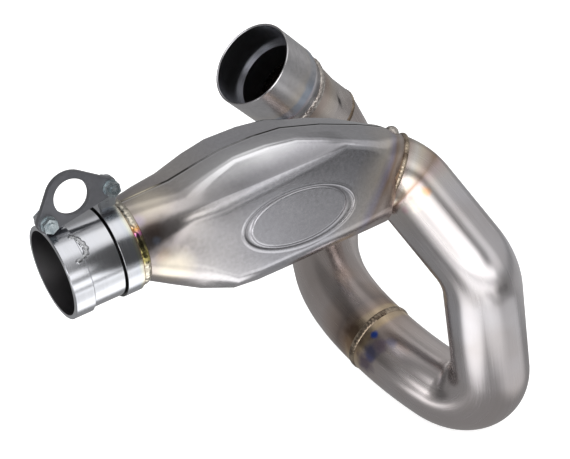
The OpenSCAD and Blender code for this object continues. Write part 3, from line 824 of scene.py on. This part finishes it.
# painted shade on the side tube inside the loop
spot(tube, (0.194, 0.045, -0.127), 0.017, SHADE, 0.5, squash=(1.2, 0.8, 1))
tube_steel = ready(tube)
for piece in (front_tube, side_tube):
    piece.data.materials.append(tube_steel)
print("tube steel has", len(tube_steel.node_tree.nodes), "nodes")

# %% Riser tube
riser = new_metal("riser steel", (0.60, 0.565, 0.565), (0.50, 0.46, 0.45), 0.26,
                  (240, 240, 240), bump=0.02, spread=0.03)
band(riser, from_plane(riser, socket), -0.04, 0.002, [
    (-0.036, a(BROWN, 0.3)), (-0.024, a(STRAW, 0.1)), (-0.014, a(STRAW, 0.3)),
    (-0.008, a(TAN, 0.6)), (-0.004, a(BROWN, 0.6)), (0.0, a(TAN, 0.5))], shift=0.003)
# a painted shadow: a thin dark line in the crease at the mitre
spot(riser, (0.2382, 0.1070, -0.0340), 0.0020, (0.03, 0.025, 0.025), 0.85,
     shift=0.0009, squash=(1, 1, 0.22))
give(ready(riser), "riser_tube")
print("riser steel done")

# %% [markdown]
# ## The chamber's finish
# The chamber is satin sheet with hot ends. Painted shade darkens its seam's gap, and a
# painted highlight lights the edge in front of it. Painted shade also darkens the fold above
# the badge towards its crease, and the badge's two steps a little more than the face.
# Cream patches on the neck are painted highlights.

# %% Chamber steel
chamber = new_metal("stamped chamber steel", (0.605, 0.60, 0.635), (0.55, 0.545, 0.58), 0.23,
                    (500, 500, 500), bump=0.006, patch=22, spread=0.015)
t = chamber["tree"]
x_here, y_here, z_here = (coordinate(chamber, axis) for axis in "XYZ")
# Heat colour at the neck. Its dark brown is laid on strongly and is partly painted shade, standing
# in for a dark reflection there.
band(chamber, x_here, 0.036, 0.11, [
    (0.038, a(BROWN, 0.75)), (0.046, a(DARK_BROWN, 0.6)), (0.058, a(BROWN, 0.35)),
    (0.075, a(STRAW, 0.22)), (0.105, a(STRAW, 0.0))], shift=0.004, seed=40)
band(chamber, from_plane(chamber, inlet), -0.03, 0.001, [
    (-0.028, a(STRAW, 0.0)), (-0.014, a(STRAW, 0.45)), (-0.010, a(PURPLE, 0.5)),
    (-0.007, a(BROWN, 0.85)), (-0.004, a(TAN, 0.7)), (0.0, a(BROWN, 0.7))], shift=0.0025)
# painted shade in the seam's gap, and a painted highlight on the edge just in front of it
seam_shade = smooth_step(t, math_node(t, "ABSOLUTE", y_here), 0.0011, 0.0005)
layer(chamber, seam_shade, (0.025, 0.024, 0.023))
seam_highlight = window(t, y_here, -0.0022, -0.0018, -0.0013, -0.0010)
layer(chamber, product(t, seam_highlight, 0.5), SHINE)
# a painted highlight high on the front half
spot(chamber, (0.103, -0.017, 0.0265), 0.010, SHINE, 0.75, squash=(0.22, 0.5, 1))
# painted shade over the fold above the badge, darkest at its crease and fading upwards
fold_shade = product(t, window(t, x_here, 0.055, 0.075, 0.155, 0.168),
               window(t, z_here, 0.0132, 0.0140, 0.0145, 0.0250),
               smooth_step(t, y_here, -0.008, -0.012))
layer(chamber, product(t, fold_shade, 0.6), SHADE)
# painted shade along the badge's two steps
steps = [smooth_step(t, math_node(t, "ABSOLUTE", math_node(
    t, "SUBTRACT", from_oval(chamber, oval), middle * MM)), 0.0007, 0.0002)
    for oval, middle in ((OUTER, -0.6), (INNER, 0.6))]
on_face = smooth_step(t, y_here, -0.016, -0.018)
layer(chamber, product(t, on_face, math_node(t, "MAXIMUM", *steps), 0.6), SHADE)
for centre, radius, colour, strength in (
        ((0.0484, -0.0200, 0.0110), 0.0075, DARK_BROWN, 0.6),
        ((0.0500, -0.0222, -0.0030), 0.0060, BROWN, 0.5),
        ((0.0482, -0.0218, 0.0065), 0.0030, (0.42, 0.47, 0.60), 0.7),
        ((0.0440, -0.0150, 0.0170), 0.0040, (0.50, 0.42, 0.66), 0.3),
        # painted highlights in cream on the neck, above and below
        ((0.0540, -0.0080, 0.0225), 0.0150, CREAM, 0.55),
        ((0.0540, -0.0205, -0.0120), 0.0140, CREAM, 0.65)):
    spot(chamber, centre, radius, colour, strength)
chamber_steel = ready(chamber)
for piece in (front_half, rear_half, badge):
    piece.data.materials.append(chamber_steel)
print("chamber steel has", len(chamber_steel.node_tree.nodes), "nodes")

# %% [markdown]
# ## Turned parts, welds and small hardware
# The collar and socket were turned, so their grain runs round the axis. Weld metal is
# grainy and takes the strongest colours. The hanger plate has a dark, slightly worn
# coat, and its nuts, bolts and washers a bluish zinc.

# %% Turned steel
COLLAR_BORE_R, SOCKET_BORE_R = 22.6, 25.8
turned = new_metal("turned collar steel", (0.63, 0.64, 0.675), (0.57, 0.58, 0.615), 0.2,
                   (1100, 30, 30), bump=0.006, spread=0.015, streaks=0.03)
x_here = coordinate(turned, "X")
band(turned, x_here, 0.02, 0.042, [
    (0.021, a(STRAW, 0.0)), (0.0345, a(SKY, 0.12)), (0.0365, a((0.72, 0.74, 0.5), 0.5)),
    (0.038, a(GOLD, 0.7))], shift=0.0006)
# painted shade in the groove between the sleeve and the ring
groove_shade = window(turned["tree"], x_here, 0.0273, 0.0276, 0.0284, 0.0287)
layer(turned, groove_shade, (0.02, 0.02, 0.02))
dark_inside(turned, collar_axis, COLLAR_BORE_R, (0.22, 0.21, 0.22), 0.36)
give(ready(turned), "outlet_collar", "stop_ring", "front_ear")

sleeve = new_metal("socket steel", (0.64, 0.63, 0.65), (0.57, 0.555, 0.565), 0.22,
                   (300, 300, 300), bump=0.01, spread=0.02)
band(sleeve, from_plane(sleeve, socket), -0.001, 0.04, [
    (0.0, a(TAN, 0.5)), (0.004, a(STRAW, 0.5)), (0.0085, a(PURPLE, 0.45)),
    (0.0108, a(SKY, 0.7)), (0.0145, a(SKY, 0.6)), (0.017, a(STRAW, 0.4)),
    (0.024, a(STRAW, 0.08)), (0.034, a(STRAW, 0.0))], shift=0.003, uneven=0.85)
dark_inside(sleeve, socket, SOCKET_BORE_R, (0.34, 0.35, 0.38), 0.3)
give(ready(sleeve), "inlet_socket")
print("turned pieces done")


# %% Weld metal
def weld_metal(name, base, dark, rough):
    return new_metal(name, base, dark, rough, (500, 500, 500), spread=0.1, bump=0.2,
                     patch=170, fine=4.0)


weld_steel = ready(weld_metal("weld metal", (0.52, 0.43, 0.33), (0.18, 0.135, 0.10), 0.3))
bright_steel = ready(weld_metal("bright weld metal", (0.60, 0.56, 0.52), (0.36, 0.32, 0.30),
                                0.26))
grey_steel = ready(weld_metal("grey weld metal", (0.62, 0.63, 0.65), (0.34, 0.345, 0.36), 0.28))
heat_and_sheen = weld_metal("hot weld metal", (0.60, 0.57, 0.50), (0.40, 0.37, 0.32), 0.2)
# Bands of colour by height on the collar bead: heat colours round the middle, and cream below and
# above them as painted highlights.
band(heat_and_sheen, coordinate(heat_and_sheen, "Z"), -0.026, 0.026, [
    (-0.024, a(CREAM, 0.3)), (-0.004, a(CREAM, 0.5)), (-0.001, a((0.36, 0.31, 0.08), 0.85)),
    (0.005, a((0.34, 0.29, 0.08), 0.85)), (0.007, a((0.07, 0.065, 0.02), 0.92)),
    (0.0115, a((0.08, 0.06, 0.02), 0.92)), (0.013, a((0.5, 0.10, 0.38), 0.8)),
    (0.015, a((0.85, 0.42, 0.10), 0.85)), (0.0175, a(CREAM, 0.5)), (0.024, a(CREAM, 0.0))],
    shift=0.0008, uneven=0.1)
for piece, finish in ((inlet_bead, weld_steel), (loop_bead, weld_steel),
                      (riser_bead, weld_steel), (collar_bead, ready(heat_and_sheen)),
                      (socket_bead, bright_steel), (lip_bead, grey_steel)):
    piece.data.materials.append(finish)
give(bright_steel, "ear_welds", "seam_end_weld")
print("weld metals done")

# %% Hanger plate and hardware
plate = new_metal("dark hanger coat", (0.150, 0.152, 0.165), (0.105, 0.107, 0.118), 0.4,
                  (500, 60, 500), bump=0.06, metallic=0.55)
give(ready(plate), "hanger_plate")
ear = new_metal("ear steel", (0.42, 0.44, 0.465), (0.33, 0.345, 0.365), 0.32,
                (300, 300, 300), bump=0.05, metallic=0.8)
give(ready(ear), "rear_ear")
zinc = new_metal("bluish zinc", (0.45, 0.50, 0.52), (0.22, 0.26, 0.28), 0.28,
                 (500, 500, 500), bump=0.1, patch=330, metallic=0.8)
give(ready(zinc), "hanger_bolts", "hanger_washers", "hanger_nuts")
print("materials:", len(bpy.data.materials))

# %% Finish
bpy.context.scene.view_settings.view_transform = "Standard"
